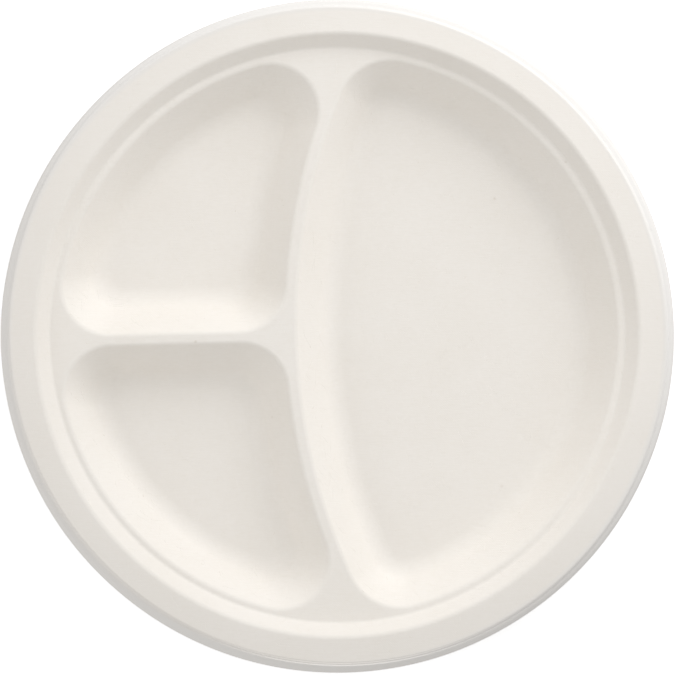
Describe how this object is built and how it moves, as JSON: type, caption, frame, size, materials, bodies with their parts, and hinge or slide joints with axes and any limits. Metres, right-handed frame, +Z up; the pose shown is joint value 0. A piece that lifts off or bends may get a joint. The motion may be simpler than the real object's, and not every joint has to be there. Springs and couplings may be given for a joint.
{
  "type": "divided compartment plate",
  "caption": "Round pressed-fibre plate with a large and two small compartments, raised dividers, a stepped flat rim and a turned-down edge.",
  "frame": {"origin": "centre of the round plate, on the table that it stands on", "axes": "+Z up out of the open side; +X from the plate's centre over the large compartment; +Y over the upper small compartment, along the long divider"},
  "size_m": [0.26, 0.26, 0.0198],
  "materials": {
    "pressed_fibre": "matte"
  },
  "bodies": {
    "root": {"turned_edge": "pressed_fibre", "rim": "pressed_fibre", "inner_step": "pressed_fibre", "divider_web": "pressed_fibre", "large_compartment": "pressed_fibre", "upper_compartment": "pressed_fibre", "lower_compartment": "pressed_fibre"}
  },
  "joints": []
}
